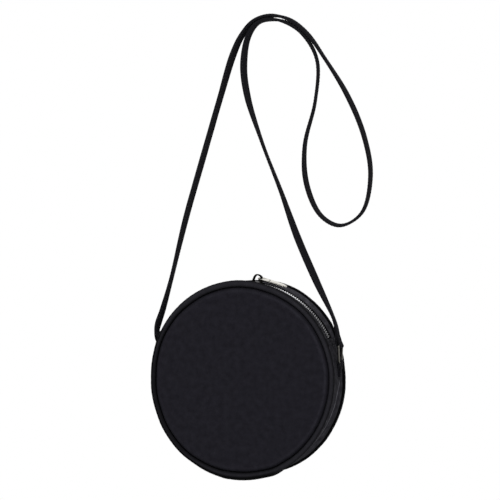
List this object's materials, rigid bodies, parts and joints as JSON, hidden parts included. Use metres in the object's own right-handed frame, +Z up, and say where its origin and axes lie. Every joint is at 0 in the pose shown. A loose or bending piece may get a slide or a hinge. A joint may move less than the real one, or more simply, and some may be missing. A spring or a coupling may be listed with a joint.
{
  "type": "shoulder bag",
  "caption": "Round drum-shaped zipped shoulder bag with a long narrow strap on two side rings, hanging from the strap.",
  "frame": {"origin": "where the strap's loop rests on the hook, peg or shoulder that the bag hangs from", "axes": "+Z up, +Y to the bag's back, +X to its right as seen from the front"},
  "size_m": [0.2288, 0.046, 0.4591],
  "materials": {
    "face_fabric": "fine matte weave",
    "gusset_fabric": "fine matte weave",
    "piping": "fine matte weave",
    "piping_cord": "raw cotton cord",
    "foam": "soft foam sheet",
    "lining": "plain lining cloth",
    "zip_tape": "herringbone tape",
    "zip_teeth": "bright",
    "nickel": "bright nickel plate",
    "strap": "matte, darker painted edges"
  },
  "bodies": {
    "strap": {"strap": "strap", "strap_end_left": "strap", "strap_end_right": "strap"},
    "ring_right": {"d_ring_right": "nickel"},
    "ring_left": {"d_ring_left": "nickel"},
    "bag": {"front_panel_lower": "face_fabric", "rear_panel": "face_fabric", "front_foam_lower": "foam", "rear_foam": "foam", "front_lining_lower": "lining", "rear_lining": "lining", "front_piping_lower": "piping", "rear_piping": "piping", "front_cord_lower": "piping_cord", "rear_cord": "piping_cord", "gusset_base": "gusset_fabric", "gusset_lining": "lining", "zip_band_rear": "gusset_fabric", "lining_band_rear": "lining", "zip_tape_rear": "zip_tape", "zip_teeth_rear": "zip_teeth", "ring_tab_left": "gusset_fabric", "ring_tab_right": "gusset_fabric"},
    "front_flap": {"front_panel_upper": "face_fabric", "front_foam_upper": "foam", "front_lining_upper": "lining", "front_piping_upper": "piping", "front_cord_upper": "piping_cord", "zip_band_front": "gusset_fabric", "lining_band_front": "lining", "zip_tape_front": "zip_tape", "zip_teeth_front": "zip_teeth"},
    "slider": {"zip_slider": "nickel"},
    "pull": {"zip_pull": "nickel"}
  },
  "joints": [
    {"name": "ring_right_swing", "type": "hinge", "parent": "strap", "child": "ring_right", "pos_m": [0.0716, 0, -0.321], "axis": [0, 1, 0], "range_deg": [-10, 10]},
    {"name": "bag_level", "type": "hinge", "parent": "ring_right", "child": "bag", "pos_m": [0.0716, 0, -0.3364], "axis": [0, 1, 0], "range_deg": [-10, 10]},
    {"name": "ring_left_swing", "type": "hinge", "parent": "strap", "child": "ring_left", "pos_m": [-0.1216, 0, -0.321], "axis": [0, 1, 0], "range_deg": [-10, 10]},
    {"name": "mouth_open", "type": "hinge", "parent": "bag", "child": "front_flap", "pos_m": [-0.025, -0.023, -0.31453], "axis": [1, 0, 0], "range_deg": [0, 30], "deforming": ["zip_tape_front", "zip_teeth_front"]},
    {"name": "zip_slide", "type": "hinge", "parent": "bag", "child": "slider", "pos_m": [-0.025, 0, -0.355], "axis": [0, 1, 0], "range_deg": [0, 34.5], "deforming": ["zip_teeth_rear"]},
    {"name": "pull_swing", "type": "hinge", "parent": "slider", "child": "pull", "pos_m": [-0.01238, 0, -0.25562], "axis": [0, 1, 0], "range_deg": [-195, 0]}
  ],
  "couplings": [
    {"joint": "ring_right_swing", "follows": "bag_level", "ratio": -1},
    {"joint": "ring_left_swing", "follows": "bag_level", "ratio": -1},
    {"joint": "zip_slide", "follows": "mouth_open", "ratio": 1.15}
  ]
}
